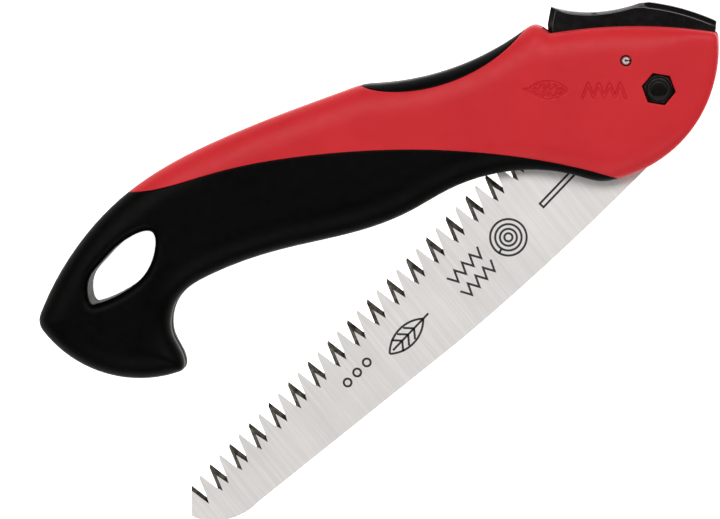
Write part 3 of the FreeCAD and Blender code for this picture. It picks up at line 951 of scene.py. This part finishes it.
def softened_mesh(node, width, crease):
    """A node's mesh with its outer edges rounded off."""
    bm = plain_copy(node)
    bmesh.ops.dissolve_limit(bm, angle_limit=math.radians(1.0), verts=bm.verts, edges=bm.edges)
    if node == "latch_lever":
        slope_lever(bm)
    crisp = [edge for edge in bm.edges
             if edge.is_convex and edge.calc_face_angle(0.0) > math.radians(ROUNDED_DEGREES)]
    bmesh.ops.bevel(bm, geom=crisp, offset=width * MM, segments=3, profile=0.5, affect="EDGES",
                    clamp_overlap=True)
    return mesh_from(bm, f"{node}_soft", crease)


def slope_lever(bm):
    """Slope the lever's flanks off: narrow along the thumb scoop, wide down the front and rear."""
    flank, crest = 1.3, 18.8
    scoop_slope, front_slope, rear_slope = 0.45, 1.0, 1.5
    for side in (1, -1):
        cut_at(bm, (PIVOT[2] + side * (LEVER_HALF - flank)) * MM, side)
    for vert in bm.verts:
        x, y, z = about_pivot(vert.co)
        if abs(abs(z) - LEVER_HALF) > 0.01:
            continue
        if y > crest:
            vert.co.y -= (scoop_slope + front_slope * ramp(x, -8.0, -4.0)) * MM
        vert.co.x += rear_slope * ramp(-x, 26.0, 32.0) * MM


def make_spring(material):
    """The latch spring, whose foot sits in the handle: a smooth-shaded copy of its CAD mesh, in the node's place.
    """
    mesh = mesh_from(plain_copy("latch_spring"), "latch_spring_coil", 40)
    mesh.materials.append(material)
    spring = bpy.data.objects.new("latch_spring_coil", mesh)
    bpy.context.scene.collection.objects.link(spring)
    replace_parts(spring, "latch_spring")
    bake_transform(spring)


# ---- stage ----

def make_camera():
    """Nearly straight down, from a little towards the head and the lever."""
    width_seen = 212.04
    distance = 2000.0
    sensor = 36.0
    aim = np.array([-87.76, -50.5, FACE_HEIGHT])
    lean = np.array([0.066, 0.078, 1.0])
    camera_data = bpy.data.cameras.new("camera")
    camera_data.sensor_width = sensor
    camera_data.lens = sensor * distance / width_seen
    camera_data.clip_end = 20.0
    camera = bpy.data.objects.new("camera", camera_data)
    bpy.context.scene.collection.objects.link(camera)
    back = Vector(lean).normalized()
    right = Vector((0, 1, 0)).cross(back).normalized()
    up = back.cross(right)
    turn = Matrix((right, up, back)).transposed().to_4x4()
    where = Vector(to_row(aim)) + back * distance * MM
    camera.matrix_world = Matrix.Translation(where) @ turn
    bpy.context.scene.camera = camera


def make_floor():
    """A plain pale floor, just below the handle."""
    mesh = bpy.data.meshes.new("floor")
    half, below = 3.0, 0.0002
    mesh.from_pydata([(-half, -half, 0), (half, -half, 0), (half, half, 0), (-half, half, 0)], [],
                     [(0, 1, 2, 3)])
    floor = bpy.data.objects.new("floor", mesh)
    floor.location.z = -below
    bpy.context.scene.collection.objects.link(floor)
    nodes = Nodes("pale_floor")
    nodes.set(Base_Color=(0.85, 0.85, 0.83, 1), Roughness=0.85, Emission_Color=(1, 1, 0.98, 1),
              Emission_Strength=1.0)
    mesh.materials.append(nodes.material)


def area_light(name, place, size, power):
    """A soft box aimed at the frame's origin, under the middle of the object."""
    light = bpy.data.lights.new(name, "AREA")
    light.shape = "RECTANGLE"
    light.size, light.size_y = size
    light.energy = power
    lamp = bpy.data.objects.new(name, light)
    lamp.location = place
    lamp.rotation_euler = (-Vector(place)).to_track_quat("-Z", "Y").to_euler()
    bpy.context.scene.collection.objects.link(lamp)


def make_light():
    """A large soft box high over the back, weaker ones round it, and nothing straight above."""
    world = bpy.data.worlds.new("studio")
    world.use_nodes = True
    background = world.node_tree.nodes["Background"]
    background.inputs["Color"].default_value = (1, 1, 0.985, 1)
    background.inputs["Strength"].default_value = 0.07
    bpy.context.scene.world = world
    area_light("back_box", (-0.1, 0.66, 1.33), (1.6, 0.5), 14)
    area_light("head_box", (0.95, 0.5, 1.1), (0.7, 0.6), 4)
    area_light("butt_box", (-1.1, 0.1, 1.1), (0.8, 0.6), 3)
    area_light("front_box", (0.1, -1.0, 1.15), (1.4, 0.6), 7)
    bpy.context.scene.view_settings.view_transform = "Standard"


make_camera()
make_floor()
make_light()
finishes = make_materials()
dress_nodes(finishes)
make_spring(finishes["pin"])
make_shells(finishes)
make_blade(finishes)
make_print(finishes["print"])
